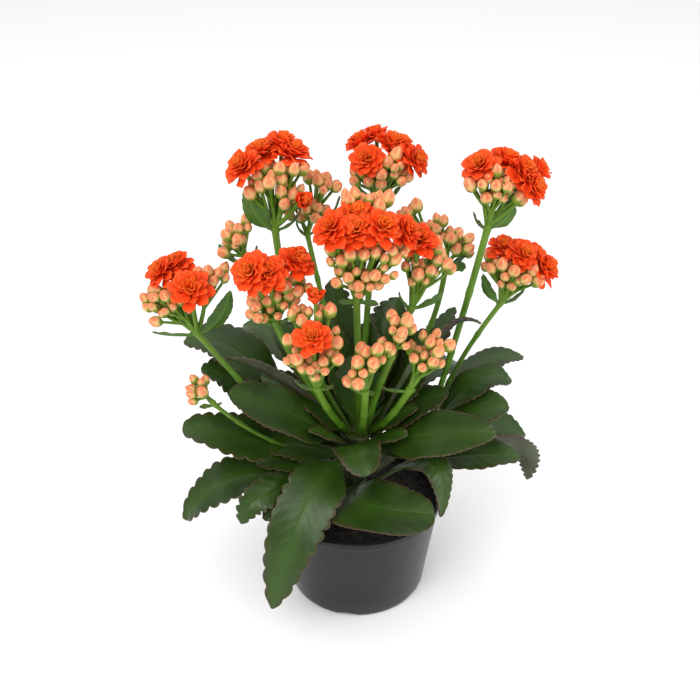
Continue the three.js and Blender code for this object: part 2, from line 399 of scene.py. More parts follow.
def remap(tree, value, low, high, to_low=0.0, to_high=1.0):
    """A value that eases from one range into another. The first range may run downwards."""
    ranges = {"Value": value, "From Min": low, "From Max": high, "To Min": to_low, "To Max": to_high}
    return output_of(tree, "ShaderNodeMapRange", ranges, "Result", interpolation_type="SMOOTHSTEP")


def rgba(value):
    return value if isinstance(value, bpy.types.NodeSocket) else (*tuple(value)[:3], 1.0)


def mixed(tree, share, a, b):
    inputs = {"Factor_Float": share, "A_Color": rgba(a), "B_Color": rgba(b)}
    return output_of(tree, "ShaderNodeMix", inputs, "Result_Color", data_type="RGBA")


def painted(tree, *marks):
    """The numbers painted on the points, for a shader."""
    return [
        output_of(tree, "ShaderNodeAttribute", output="Fac", attribute_name=mark, attribute_type="GEOMETRY")
        for mark in marks
    ]


def noise(tree, place, scale, detail):
    return output_of(tree, "ShaderNodeTexNoise", {"Vector": place, "Scale": scale, "Detail": detail}, "Fac")


def new_tree(name, kind, inputs, outputs):
    """A node group, its entry's outputs and its last node. Each socket has a start value, or its kind."""
    tree = bpy.data.node_groups.new(name, kind)
    for direction, sockets in (("INPUT", inputs), ("OUTPUT", outputs)):
        for label, start in sockets.items():
            known = SOCKET_KINDS.get(type(start))
            socket_type = "NodeSocket" + (known or start)
            socket = tree.interface.new_socket(name=label, in_out=direction, socket_type=socket_type)
            if known:
                socket.default_value = start
    return tree, tree.nodes.new("NodeGroupInput").outputs, tree.nodes.new("NodeGroupOutput")


def shared(build):
    """The node group that a builder makes, named after it and built once."""
    name = build.__name__
    return bpy.data.node_groups.get(name) or build(name)


def soft_mottle(name):
    """Soft blotches of two colours, with a finer grain on top."""
    inputs = {"Dark": (0, 0, 0, 1), "Light": (1, 1, 1, 1), "Blotches": 80.0, "Grain": 900.0}
    results = {"Color": "Color", "Mask": "Float", "Grain": "Float"}
    tree, entry, leave = new_tree(name, "ShaderNodeTree", inputs, results)
    place = output_of(tree, "ShaderNodeTexCoord", output="Object")
    spread = remap(tree, noise(tree, place, entry["Blotches"], 3.0), 0.34, 0.66)
    grain = noise(tree, place, entry["Grain"], 2.0)
    share = plus(tree, times(tree, spread, 0.85), times(tree, grain, 0.15))
    tree.links.new(mixed(tree, share, entry["Dark"], entry["Light"]), leave.inputs["Color"])
    tree.links.new(spread, leave.inputs["Mask"])
    tree.links.new(grain, leave.inputs["Grain"])
    return tree


def growth_streaks(name):
    """Fine lines that run along a petal, from two painted numbers."""
    inputs = {"Along": 0.0, "Across": 0.0, "Stretch": 1.0, "Lines": 12.0}
    tree, entry, leave = new_tree(name, "ShaderNodeTree", inputs, {"Mask": "Float"})
    along = times(tree, entry["Along"], entry["Stretch"])
    across = times(tree, entry["Across"], entry["Lines"])
    lines = noise(tree, vector_of(tree, X=along, Y=across), 1.0, 2.0)
    tree.links.new(remap(tree, lines, 0.35, 0.65), leave.inputs["Mask"])
    return tree


def mottled(tree, dark, light, blotches, grain=900.0):
    """The mottle's colour, its mask of blotches and its grain."""
    inputs = {"Dark": rgba(dark), "Light": rgba(light), "Blotches": blotches, "Grain": grain}
    return add_node(tree, "ShaderNodeGroup", inputs, node_tree=shared(soft_mottle)).outputs


def new_material(name, **constants):
    """A material and the tree and shader in it. Constants are set on the shader's own sockets."""
    made = bpy.data.materials.new(name)
    made.use_nodes = True
    shader = made.node_tree.nodes["Principled BSDF"]
    for key, value in constants.items():
        shader.inputs[key.replace("_", " ")].default_value = value
    return made, made.node_tree, shader


def finish_shader(tree, shader, base, roughness, height, depth):
    """Links the colour, the roughness and a bump of a given depth to the shader."""
    tree.links.new(base, shader.inputs["Base Color"])
    if isinstance(roughness, bpy.types.NodeSocket):
        tree.links.new(roughness, shader.inputs["Roughness"])
    else:
        shader.inputs["Roughness"].default_value = roughness
    bump = add_node(tree, "ShaderNodeBump", {"Height": height, "Strength": 1.0, "Distance": depth})
    tree.links.new(bump.outputs["Normal"], shader.inputs["Normal"])


# ---- materials ----
# Colours of the bracts, in the order of the leaves' own: upper side, young, underside, flush and margin.
BRACT_COLOURS = [
    (0.055, 0.135, 0.012), (0.10, 0.23, 0.02), (0.07, 0.16, 0.022), (0.05, 0.11, 0.018), (0.09, 0.09, 0.03)
]


def leaf_material(name, upper, young, under, flush, margin):
    """Waxy green with a lighter midrib, sunken veins, a thin coloured margin and a pale underside."""
    made, tree, shader = new_material(name, Coat_Weight=0.05, Coat_Roughness=0.18, Specular_IOR_Level=0.28)
    along, across, edge, below, tint = painted(tree, "along_mm", "across_mm", "edge_mm", "below", "tint")
    away = calc(tree, "ABSOLUTE", across)
    lighter = [0.55 * a + 0.45 * b for a, b in zip(upper, young)]
    tone, blotches, grain = mottled(tree, upper, lighter, 55.0)
    middle = times(tree, remap(tree, away, 7.0, 0.5), 0.4)
    warmed = mixed(tree, plus(tree, middle, times(tree, tint, 0.55)), tone, young)

    rib = remap(tree, away, 0.9, 0.2)
    slant = calc(tree, "DIVIDE", minus(tree, along, times(tree, away, VEIN_SLANT)), VEIN_STEP)
    vein = remap(tree, calc(tree, "PINGPONG", slant, 0.5), 0.07, 0.0)
    vein = times(tree, vein, remap(tree, away, 12.0, 2.0, 0.15, 0.75))
    lines = calc(tree, "MAXIMUM", rib, vein)

    top = mixed(tree, times(tree, lines, 0.16), warmed, young)
    ragged = plus(tree, edge, times(tree, grain, 0.9))
    rusty = times(tree, remap(tree, ragged, 4.2, 1.0), times(tree, blotches, 0.55))
    top = mixed(tree, rusty, top, [0.55 * c for c in margin])
    rim = remap(tree, ragged, 1.45, 0.60)
    top = mixed(tree, times(tree, rim, 0.85), top, margin)
    bottom = mixed(tree, times(tree, lines, 0.5), mixed(tree, blotches, under, flush), young)

    gloss = plus(tree, times(tree, grain, 0.16), 0.27)
    roughness = calc(tree, "ADD", gloss, times(tree, below, 0.22), clamp=True)
    height = minus(tree, times(tree, grain, 0.6), times(tree, lines, 0.6))
    finish_shader(tree, shader, mixed(tree, below, top, bottom), roughness, height, 0.16 * MM)
    return made


def stem_material(flower):
    """Juicy green, paler towards the top, with a browner foot."""
    made, tree, shader = new_material("stem_green", Specular_IOR_Level=0.25)
    (rise,) = painted(tree, "rise")
    tone, _, grain = mottled(tree, [0.62 * c for c in flower.stem], flower.stem, 120.0)
    pale = mixed(tree, times(tree, remap(tree, rise, 0.45, 1.0), 0.4), tone, (0.19, 0.32, 0.035))
    foot = times(tree, remap(tree, rise, 0.30, 0.0), 0.6)
    base = mixed(tree, foot, pale, (0.060, 0.085, 0.022))
    finish_shader(tree, shader, base, 0.42, grain, 0.10 * MM)
    return made


def bud_material(flower):
    """Peach pink that pales along the petals' edges, out of a yellow-green base."""
    made, tree, shader = new_material(
        "bud_skin", Subsurface_Weight=0.12, Subsurface_Scale=2 * MM, Specular_IOR_Level=0.3
    )
    rise, seam, tint = painted(tree, "rise", "seam", "tint")
    cream, rosy, calyx = (0.76, 0.49, 0.19), (0.86, 0.13, 0.035), (0.20, 0.28, 0.030)
    tone, _, grain = mottled(tree, flower.bud, (0.73, 0.26, 0.120), 420.0, 2500.0)
    base = mixed(tree, times(tree, seam, seam), tone, cream)
    base = mixed(tree, remap(tree, rise, 0.84, 1.0, 0.0, 0.75), base, rosy)
    base = mixed(tree, remap(tree, rise, 0.74, 0.52, 0.0, 0.75), base, cream)
    ripeness = minus(tree, 0.70, times(tree, tint, 0.26))
    ripeness = minus(tree, ripeness, times(tree, seam, 0.16))
    base = mixed(tree, remap(tree, minus(tree, rise, ripeness), 0.08, -0.16), base, calyx)
    finish_shader(tree, shader, base, 0.45, grain, 0.08 * MM)
    return made


def petal_material(flower):
    """Soft orange red, lighter and yellower towards the heart of the blossom."""
    made, tree, shader = new_material(
        "petal_orange", Subsurface_Weight=0.15, Subsurface_Scale=2 * MM, Specular_IOR_Level=0.15
    )
    reach, aside, inner, tint = painted(tree, "reach", "aside", "inner", "tint")
    inputs = {"Along": reach, "Across": aside, "Stretch": 1.5, "Lines": 5.0}
    streaks = output_of(tree, "ShaderNodeGroup", inputs, node_tree=shared(growth_streaks))
    base = mixed(tree, streaks, [0.88 * c for c in flower.petal], flower.petal)
    glow = plus(tree, times(tree, tint, 0.60), 0.25)
    base = mixed(tree, times(tree, remap(tree, inner, 0.45, 1.0), glow), base, flower.heart)
    base = mixed(tree, times(tree, remap(tree, reach, 0.80, 1.0), 0.30), base, (1.0, 0.20, 0.06))
    base = mixed(tree, times(tree, tint, 0.25), base, (1.0, 0.135, 0.03))
    finish_shader(tree, shader, base, 0.6, streaks, 0.08 * MM)
    return made


def plastic_material(pot):
    """Thin dark moulded plastic: satin, slightly cloudy, with a trace of dust low down."""
    made, tree, shader = new_material(
        "moulded_plastic", Specular_IOR_Level=0.25, Sheen_Weight=0.18, Sheen_Roughness=0.3
    )
    shades = ([share * c for c in pot.plastic] for share in (0.86, 1.12))
    tone, clouds, grain = mottled(tree, *shades, 45.0)
    place = output_of(tree, "ShaderNodeTexCoord", output="Object")
    height = output_of(tree, "ShaderNodeSeparateXYZ", {0: place}, "Z")
    dust = times(tree, remap(tree, height, 14 * MM, 0.0), times(tree, grain, 0.30))
    base = mixed(tree, dust, tone, (0.10, 0.10, 0.10))
    rings = calc(tree, "SINE", times(tree, height, 3100.0))
    near_rim = remap(tree, height, 44 * MM, 52 * MM, 0.03, 0.35)
    relief = plus(tree, times(tree, rings, near_rim), times(tree, grain, 0.5))
    roughness = plus(tree, times(tree, clouds, 0.08), 0.30)
    finish_shader(tree, shader, base, roughness, relief, 0.07 * MM)
    return made


def mottled_material(name, dark, light, blotches, grain, roughness, depth):
    """A plain mottled finish with a bump of its own grain."""
    made, tree, shader = new_material(name)
    tone, _, fine = mottled(tree, dark, light, blotches, grain)
    finish_shader(tree, shader, tone, roughness, fine, depth)
    return made


def get_material(name):
    """A finish by name, made when it is first asked for."""
    scene = bpy.context.scene
    leaf, flower, pot = scene.kalanchoe_leaf, scene.kalanchoe_flower, scene.kalanchoe_pot
    leaf_colours = (leaf.upper, leaf.young, leaf.under, leaf.flush, leaf.margin)
    # The peat's darker colour is dark peat with painted shade for the inside of the pot
    peat = (pot.peat, (0.022, 0.015, 0.011), 300.0, 2200.0, 0.92, 0.5 * MM)
    bark = ((0.024, 0.030, 0.011), (0.062, 0.085, 0.026), 160.0, 900.0, 0.6, 0.3 * MM)
    builders = {
        "leaf_green": lambda: leaf_material(name, *leaf_colours),
        "bract_green": lambda: leaf_material(name, *BRACT_COLOURS),
        "stem_green": lambda: stem_material(flower),
        "bud_skin": lambda: bud_material(flower),
        "petal_orange": lambda: petal_material(flower),
        "moulded_plastic": lambda: plastic_material(pot),
        "shade_darkened_peat": lambda: mottled_material(name, *peat),
        "crown_bark": lambda: mottled_material(name, *bark),
    }
    return bpy.data.materials.get(name) or builders[name]()


# ---- geometry node trees ----
def attribute_of(tree, name, kind="FLOAT"):
    node = add_node(tree, "GeometryNodeInputNamedAttribute", {"Name": name}, data_type=kind)
    return node.outputs["Attribute"]


def geometry_tree(name, inputs):
    """A tree that takes geometry, the given inputs and a material. Returns it, its inputs and its end."""
    sockets = {"Geometry": "Geometry", **inputs, "Material": "Material"}
    return new_tree(name, "GeometryNodeTree", sockets, {"Geometry": "Geometry"})


def finish_tree(tree, inputs, leave, geometry):
    """Makes the geometry real, dresses it in the material and hands it on."""
    real = output_of(tree, "GeometryNodeRealizeInstances", {"Geometry": geometry})
    dressed = {"Geometry": real, "Material": inputs["Material"]}
    tree.links.new(output_of(tree, "GeometryNodeSetMaterial", dressed), leave.inputs[0])
    return tree


def green_tubes(name):
    """Turns edges into round tubes, as thick as each point's girth says."""
    tree, inputs, leave = geometry_tree(name, {"Sides": 8})
    curve = output_of(tree, "GeometryNodeMeshToCurve", {"Mesh": inputs["Geometry"]})
    ring = output_of(tree, "GeometryNodeCurvePrimitiveCircle", {"Resolution": inputs["Sides"], "Radius": 1.0})
    girth = attribute_of(tree, "girth")
    route = {"Curve": curve, "Profile Curve": ring, "Scale": girth, "Fill Caps": True}
    tube = output_of(tree, "GeometryNodeCurveToMesh", route)
    return finish_tree(tree, inputs, leave, output_of(tree, "GeometryNodeSetShadeSmooth", {"Geometry": tube}))


def double_rosette(name):
    """Petals in a golden-angle spiral: flat at the outside, upright and smaller towards the heart."""
    sizes = {"Outer Tilt": 0.1, "Inner Tilt": 1.2, "Outer Size": 1.0, "Inner Size": 0.4, "Height": 0.2}
    tree, inputs, leave = geometry_tree(name, {"Petal": "Object", "Petals": 30, **sizes, "Seed": 1})
    points = output_of(tree, "GeometryNodePoints", {"Count": inputs["Petals"]})
    index = output_of(tree, "GeometryNodeInputIndex")
    inner = calc(tree, "DIVIDE", index, minus(tree, inputs["Petals"], 1.0))

    def between(low, high):
        return plus(tree, low, times(tree, inner, minus(tree, high, low)))

    def wobble(amount, salt):
        limits = {"Min_001": -amount, "Max_001": amount, "Seed": plus(tree, inputs["Seed"], float(salt))}
        return output_of(tree, "FunctionNodeRandomValue", limits, "Value_001", data_type="FLOAT")

    turn = plus(tree, times(tree, index, GOLDEN_ANGLE), wobble(0.16, 11))
    tilt = plus(tree, between(inputs["Outer Tilt"], inputs["Inner Tilt"]), wobble(0.14, 23))
    euler = vector_of(tree, X=wobble(0.35, 37), Y=times(tree, tilt, -1.0), Z=turn)
    size = times(tree, between(inputs["Outer Size"], inputs["Inner Size"]), plus(tree, 1.0, wobble(0.10, 51)))
    place = vector_of(tree, Z=times(tree, inner, inputs["Height"]))
    lifted = output_of(tree, "GeometryNodeSetPosition", {"Geometry": points, "Position": place})
    mark = {"Geometry": lifted, "Name": "inner", "Value": inner}
    marked = output_of(tree, "GeometryNodeStoreNamedAttribute", mark, data_type="FLOAT")
    petal = output_of(tree, "GeometryNodeObjectInfo", {"Object": inputs["Petal"]}, "Geometry")
    turned = output_of(tree, "FunctionNodeEulerToRotation", {"Euler": euler})
    each = {"Points": marked, "Instance": petal, "Rotation": turned, "Scale": size}
    return finish_tree(tree, inputs, leave, output_of(tree, "GeometryNodeInstanceOnPoints", each))


def facing_cluster(name):
    """Puts one of a family of shapes on each point, facing, turned and sized as the point says."""
    tree, inputs, leave = geometry_tree(name, {"Family": "Collection"})
    members = {"Collection": inputs["Family"], "Separate Children": True}
    spin = vector_of(tree, Z=attribute_of(tree, "turn"))
    start = output_of(tree, "FunctionNodeEulerToRotation", {"Euler": spin})
    goal = {"Rotation": start, "Vector": attribute_of(tree, "facing", "FLOAT_VECTOR")}
    each = {
        "Points": inputs["Geometry"],
        "Instance": output_of(tree, "GeometryNodeCollectionInfo", members),
        "Pick Instance": True,
        "Instance Index": attribute_of(tree, "kin", "INT"),
        "Rotation": output_of(tree, "FunctionNodeAlignRotationToVector", goal, axis="Z"),
        "Scale": attribute_of(tree, "size"),
    }
    return finish_tree(tree, inputs, leave, output_of(tree, "GeometryNodeInstanceOnPoints", each))


def peat_crumbs(name):
    """Scatters crumbs over the upward faces and keeps the ground under them."""
    sizes = {"Density": 1000.0, "Smallest": 0.3 * MM, "Largest": 1.0 * MM}
    tree, inputs, leave = geometry_tree(name, {"Crumb": "Object", **sizes, "Seed": 4})
    normal = output_of(tree, "GeometryNodeInputNormal")
    upward = calc(tree, "GREATER_THAN", output_of(tree, "ShaderNodeSeparateXYZ", {0: normal}, "Z"), 0.5)
    ground = {"Mesh": inputs["Geometry"], "Selection": upward}
    spread = {"Density": inputs["Density"], "Seed": inputs["Seed"]}
    turns = {"Min": (0, 0, 0), "Max": (6.28, 6.28, 6.28), "Seed": inputs["Seed"]}
    seed = plus(tree, inputs["Seed"], 7.0)
    limits = {"Min_001": inputs["Smallest"], "Max_001": inputs["Largest"], "Seed": seed}
    each = {
        "Points": output_of(tree, "GeometryNodeDistributePointsOnFaces", {**ground, **spread}),
        "Instance": output_of(tree, "GeometryNodeObjectInfo", {"Object": inputs["Crumb"]}, "Geometry"),
        "Rotation": output_of(tree, "FunctionNodeRandomValue", turns, "Value", data_type="FLOAT_VECTOR"),
        "Scale": output_of(tree, "FunctionNodeRandomValue", limits, "Value_001", data_type="FLOAT"),
    }
    both = tree.nodes.new("GeometryNodeJoinGeometry")
    tree.links.new(output_of(tree, "GeometryNodeInstanceOnPoints", each), both.inputs[0])
    tree.links.new(inputs["Geometry"], both.inputs[0])
    return finish_tree(tree, inputs, leave, both.outputs[0])


def plain_copy(source, name):
    """The evaluated object as a plain mesh object. The source is removed."""
    depsgraph = bpy.context.evaluated_depsgraph_get()
    mesh = bpy.data.meshes.new_from_object(
        source.evaluated_get(depsgraph), preserve_all_data_layers=True, depsgraph=depsgraph
    )
    bpy.data.objects.remove(source)
    mesh.name = name
    return in_scene(name, mesh)


def grown(source, build, values, name):
    """Runs a node tree on the source and keeps the result as a plain mesh object."""
    tree = shared(build)
    modifier = modify(source, tree.name, "NODES", node_group=tree)
    identifiers = {item.name: item.identifier for item in tree.interface.items_tree if item.in_out == "INPUT"}
    for key, value in values.items():
        modifier[identifiers[key]] = value
    source.update_tag()
    return plain_copy(source, name)


def seeds_mesh(name, points, edges, marks):
    """Loose points and edges with painted marks, for a node tree to grow from."""
    mesh = bpy.data.meshes.new(name)
    mesh.from_pydata([tuple(point) for point in points], edges, [])
    for mark, (kind, values) in marks.items():
        paint(mesh, mark, values, kind)
    return in_scene(name, mesh)


def tubes(name, routes, sides):
    """Round green tubes. Each route is its points, the girth at each and the rise at each."""
    points, edges, girths, rises = [], [], [], []
    for route, girth, rise in routes:
        first = len(points)
        points += list(route)
        edges += [(first + i, first + i + 1) for i in range(len(route) - 1)]
        girths += list(np.broadcast_to(girth, len(route)))
        rises += list(np.broadcast_to(rise, len(route)))
    marks = {"girth": ("FLOAT", girths), "rise": ("FLOAT", rises)}
    source = seeds_mesh(name + "_routes", points, edges, marks)
    return grown(source, green_tubes, {"Sides": sides, "Material": get_material("stem_green")}, name)


# ---- leaves and bracts ----
HALF_ACROSS = [1.0, 0.985, 0.94, 0.86, 0.74, 0.59, 0.43, 0.28, 0.16, 0.07, 0.0]


def blade_outline(along, sharpness, full):
    """Half the width of a leaf of unit half width: a narrow stalk, a tapering base and a rounded tip."""
    blade = np.clip((along - 0.12) / 0.88, 0, 1)
    opening = 0.13 + 0.87 * smooth(blade, -0.05, full) ** 0.85
    closing = np.clip(1 - np.clip((blade - 0.38) / 0.62, 0, 1) ** 2.1, 0, 1) ** sharpness
    stalk = 0.13 + 0.05 * smooth(along, 0.08, 0.0)
    return np.maximum(opening, stalk) * closing, blade


def blade_shape(rib, rng, thickness, spacing, depth, form=(0.6, 0.4), stations=96, wave=0.8 * MM, tint=0.0):
    """A closed fleshy leaf along a rib: scalloped margin, sunken midrib, rounded edges and a soft wave."""
    buried = -2.2 * MM / rib.length
    along = buried + (1 - buried) * (1 - (1 - np.linspace(0, 1, stations + 2)[1:-1]) ** 1.25)
    across = np.array(HALF_ACROSS + [-w for w in HALF_ACROSS[-2::-1]])
    across = np.concatenate([across, across[-2:0:-1]])
    above = np.arange(len(across)) < 2 * len(HALF_ACROSS) - 1
    face = np.where(above, 1.0, -1.0)
    face[[0, 2 * len(HALF_ACROSS) - 2]] = 0.0

    outline, blade = blade_outline(along, *form)
    half = (0.5 * rib.width * outline)[:, None]
    w = across[None, :]
    away = np.abs(w)

    teeth = max(3, round(0.80 * rib.length / spacing))
    margin = np.zeros((stations, 2))
    for hand in range(2):
        phase = (teeth + rng.uniform(-0.4, 0.4)) * np.clip((blade - 0.20) / 0.80, 0, 1) + 0.12 * hand
        lobes = np.abs(np.sin(math.pi * phase)) ** 0.55 - 0.72
        fade = smooth(blade, 0.18, 0.36) * smooth(1 - blade, 0.0, 0.05)
        margin[:, hand] = depth * lobes * fade * (1 + 0.25 * np.sin(7 * blade + rng.uniform(0, 6)))
    tooth = np.where(w > 0, margin[:, :1], margin[:, 1:])
    sideways = half * w + np.sign(w) * tooth * away**6

    fleshy = 0.5 * thickness * (1 - 0.35 * np.clip(along, 0, 1))[:, None]
    body = fleshy * face * (1 - away**7) ** 0.45
    middle = (1 - 0.7 * np.clip(along, 0, 1))[:, None]
    groove = np.exp(-((sideways / (1.1 * MM)) ** 2)) * middle * np.where(above, -0.45 * MM, -0.85 * MM)
    cup = rng.uniform(0.07, 0.13)
    ripple = np.zeros((stations, 2))
    for hand in range(2):
        ripple[:, hand] = np.sin(2 * math.pi * (rng.uniform(1.6, 2.6) * blade + rng.random()))
    swell = np.where(w > 0, ripple[:, :1], ripple[:, 1:]) * wave * away**2.2 * smooth(blade, 0.1, 0.4)[:, None]
    beside = along[:, None] * rib.length / MM - VEIN_SLANT * np.abs(sideways) / MM
    quilt = 0.12 * MM * np.sin(beside * 2 * math.pi / VEIN_STEP)
    upward = body + groove + cup * half * w * w + swell + quilt * smooth(away, 0.1, 0.4) * (away < 0.95)

    centre, side, heading = rib.at(along), rib.side(along), rib.heading(along)
    up = np.cross(heading, side)
    rings = centre[:, None] + side[:, None] * sideways[..., None] + up[:, None] * upward[..., None]
    edge = (half * (1 - away) + np.maximum(tooth, 0) * (1 - away**6)) / MM
    marks = {
        "along_mm": (along * rib.length / MM)[:, None],
        "across_mm": sideways / MM,
        "edge_mm": np.minimum(edge, 6.0) + 4.0 * smooth(0.3 - blade, 0.0, 0.2)[:, None],
        "below": np.where(above, 0.0, 1.0)[None],
        "tint": tint,
    }
    return skin(rib.at(buried), rings, rib.tip, marks)


# How coarse and how deep a leaf's scallops are, as shares of the usual, how sharp its tip is, and the share
# of its blade at which it reaches its full width.
FORMS = {
    "leaf_front_left": (0.62, 0.45, 0.50, 0.34),
    "leaf_front_small": (0.66, 0.50, 0.42, 0.34),
    "leaf_front_right": (0.62, 0.45, 0.56, 0.36),
    "leaf_front_hanging": (1.45, 1.00, 0.62, 0.26),
    "leaf_front_rim": (0.70, 0.35, 0.32, 0.30),
    "leaf_left_wide": (1.50, 1.10, 0.50, 0.40),
    "leaf_left_drooping": (1.40, 1.10, 0.66, 0.40),
    "leaf_left_narrow": (1.20, 1.00, 0.66, 0.40),
    "leaf_left_middle": (1.20, 1.00, 0.60, 0.40),
    "leaf_left_high": (1.30, 0.90, 0.60, 0.40),
    "leaf_right_upper": (0.80, 0.60, 0.52, 0.36),
    "leaf_right_glossy": (1.00, 0.50, 0.50, 0.36),
    "leaf_right_far": (1.00, 0.70, 0.52, 0.40),
    "leaf_right_low": (1.20, 0.60, 0.56, 0.40),
    "leaf_right_side": (0.90, 0.90, 0.56, 0.40),
    "leaf_right_tail": (0.78, 0.90, 0.66, 0.40),
    "leaf_rim_right": (0.80, 0.50, 0.60, 0.40),
}
USUAL_FORM = (1.1, 1.0, 0.6, 0.4)

# Small leaves round the foot of the flower stems: root, bend, tip, width, roll in degrees.
INNER_LEAVES = {
    "inner_left": ((-8, 2, 92), (-28, 6, 118), (-50, 8, 124), 24, -10),
    "inner_left_low": ((-7, -4, 80), (-30, -10, 99), (-58, -13, 99), 25, -14),
    "inner_left_curled": ((-12, 2, 96), (-33, 1, 133), (-66, 0, 140), 12, 58),
    "inner_left_filling": ((-8, -6, 70), (-26, -14, 91), (-52, -17, 88), 21, -10),
    "inner_core_low": ((0, 0, 82), (-12, -5, 97), (-28, -8, 100), 24, -5),
    "inner_left_middle": ((-7, -2, 90), (-26, -10, 112), (-50, -8, 107), 20, -16),
    "inner_left_high": ((-5, 4, 94), (-22, 12, 127), (-44, 13, 151), 31, -6),
    "inner_back_left": ((-5, 6, 94), (-20, 22, 122), (-40, 32, 142), 28, -8),
    "inner_front_left": ((-5, -7, 92), (-12, -20, 108), (-24, -26, 114), 13, -12),
    "inner_centre_left": ((-3, 6, 94), (-8, 16, 124), (-14, 20, 150), 22, 10),
    "inner_centre_right": ((3, 6, 94), (10, 14, 124), (22, 16, 146), 22, -6),
    "inner_front_right": ((6, -5, 92), (14, -18, 106), (24, -24, 110), 14, 14),
    "inner_right": ((8, 0, 92), (24, -2, 114), (46, 0, 120), 24, 12),
    "inner_right_high": ((7, 4, 94), (22, 14, 126), (42, 17, 145), 34, 10),
    "inner_right_back": ((6, 6, 94), (18, 26, 122), (36, 38, 132), 26, 6),
    "inner_right_low": ((8, -3, 82), (24, -8, 94), (44, -8, 96), 18, 10),
    "inner_core": ((0, 3, 94), (0, 9, 114), (1, 11, 136), 28, 0),
    "inner_core_left": ((-4, 0, 92), (-16, -2, 110), (-30, -4, 118), 22, -8),
    "inner_core_right": ((4, 0, 92), (16, -4, 108), (30, -8, 115), 20, 8),
    "inner_back": ((1, 8, 94), (2, 22, 122), (6, 30, 144), 24, 0),
}


class KALANCHOE_OT_leaves(bpy.types.Operator):
    """Builds the big leaves over their CAD blades, and the small leaves of the heart"""

    bl_idname = "kalanchoe.leaves"
    bl_label = "Leaves"

    def execute(self, context):
        look = context.scene.kalanchoe_leaf
        material = get_material("leaf_green")
        for node in LEAVES:
            rng = random.Random(node)
            coarse, deep, *form = FORMS.get(node, USUAL_FORM)
            spacing, depth = look.tooth_spacing * coarse, look.tooth_depth * deep
            tint = rng.uniform(0.0, 0.5)
            shape = blade_shape(leaf_rib(node), rng, look.thickness, spacing, depth, form, tint=tint)
            keep(shape.make(node.replace("leaf_", "blade_"), material), "leaf", node)
        for name, (root, bend, tip, width, roll) in INNER_LEAVES.items():
            rng = random.Random(name)
            rib = Rib(*(np.array(p) * MM for p in (root, bend, tip)), math.radians(roll), width * MM)
            thickness, spacing, depth = 0.8 * look.thickness, 0.9 * look.tooth_spacing, 0.7 * look.tooth_depth
            shape = blade_shape(rib, rng, thickness, spacing, depth, (0.6, 0.4), 60, 0.5 * MM, rng.random())
            keep(shape.make(name + "_blade", material), "leaf")
        return {"FINISHED"}


